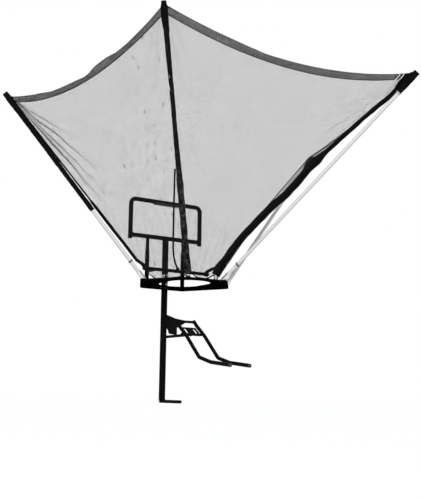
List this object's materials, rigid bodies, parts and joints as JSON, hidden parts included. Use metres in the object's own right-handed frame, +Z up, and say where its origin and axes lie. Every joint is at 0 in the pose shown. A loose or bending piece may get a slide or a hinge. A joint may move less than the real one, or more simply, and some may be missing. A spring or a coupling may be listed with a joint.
{
  "type": "ball return net",
  "caption": "Hanging ball return: tube hanger, net funnel spread by leaning poles, drop plate, and a swivelling rail chute with a steering handle.",
  "frame": {"origin": "middle of the flat underside of the rubber hanger pad, where the whole thing hangs on a rim neck", "axes": "+X to the right seen from the front, -Y towards the front where the funnel opens and the chute points, +Z up"},
  "size_m": [2.3196, 1.4743, 1.9093],
  "materials": {
    "black_steel": "satin black powder coat",
    "zinc_steel": "zinc plated",
    "chrome": "bright",
    "white_pole": "white satin coat",
    "rubber": "matte",
    "black_plastic": "matte",
    "bearing_plastic": "self-lubricating bush",
    "black_webbing": "woven polyester",
    "white_cord": "woven cord",
    "hem_mesh": "dense mesh",
    "net_mesh": "fine translucent mesh"
  },
  "bodies": {
    "frame": {"hanger_frame": "black_steel", "hanger_lower_bar": "black_steel", "hanger_pad": "rubber", "strut_left": "black_steel", "strut_right": "black_steel", "strut_sleeve_left": "black_steel", "strut_sleeve_right": "black_steel", "strut_lock_pin_left": "zinc_steel", "strut_lock_pin_right": "zinc_steel", "drop_plate": "black_steel", "plate_rim": "black_steel", "cross_bar": "black_steel", "cross_bar_bracket_left": "black_steel", "cross_bar_bracket_right": "black_steel", "pole_socket_rear_left": "zinc_steel", "pole_socket_front_left": "zinc_steel", "pole_socket_front_right": "zinc_steel", "pole_socket_rear_right": "zinc_steel", "pole_rear_left": "white_pole", "pole_front_left": "white_pole", "pole_front_right": "white_pole", "pole_rear_right": "white_pole", "tip_pocket_rear_left": "black_webbing", "tip_pocket_front_left": "black_webbing", "tip_pocket_front_right": "black_webbing", "tip_pocket_rear_right": "black_webbing", "pole_sleeve_front_left": "black_webbing", "corner_tie_front_right": "white_cord", "pole_strap_rear_left": "black_webbing", "pole_strap_front_right": "black_webbing", "corner_band_rear_left": "black_webbing", "corner_band_front_right": "black_webbing", "corner_band_rear_right": "black_webbing", "band_strap_rear_left": "black_webbing", "band_strap_rear_right": "black_webbing", "top_hem_left": "hem_mesh", "top_hem_front": "hem_mesh", "top_hem_right": "hem_mesh", "net_panel_left": "net_mesh", "net_panel_front": "net_mesh", "net_panel_right": "net_mesh", "draw_cord": "black_webbing", "mast": "black_steel", "swivel_spindle": "zinc_steel", "swivel_collar": "chrome", "spindle_nut": "zinc_steel", "plate_bearing": "bearing_plastic"},
    "chute": {"swivel_post": "black_steel", "swivel_bush": "bearing_plastic", "post_screw": "zinc_steel", "steering_handle": "black_steel", "chute_rail_left": "black_steel", "chute_rail_right": "black_steel", "rail_plug_left": "black_plastic", "rail_plug_right": "black_plastic", "chute_cross_tube_upper": "black_steel", "chute_cross_tube_lower": "black_steel", "chute_cradle": "black_steel", "chute_gusset": "black_steel", "chute_brace": "black_steel"}
  },
  "joints": [
    {"name": "chute_swivel", "type": "hinge", "parent": "frame", "child": "chute", "pos_m": [0, 0, -0.492], "axis": [0, 0, 1], "range_deg": [-90, 90]}
  ]
}
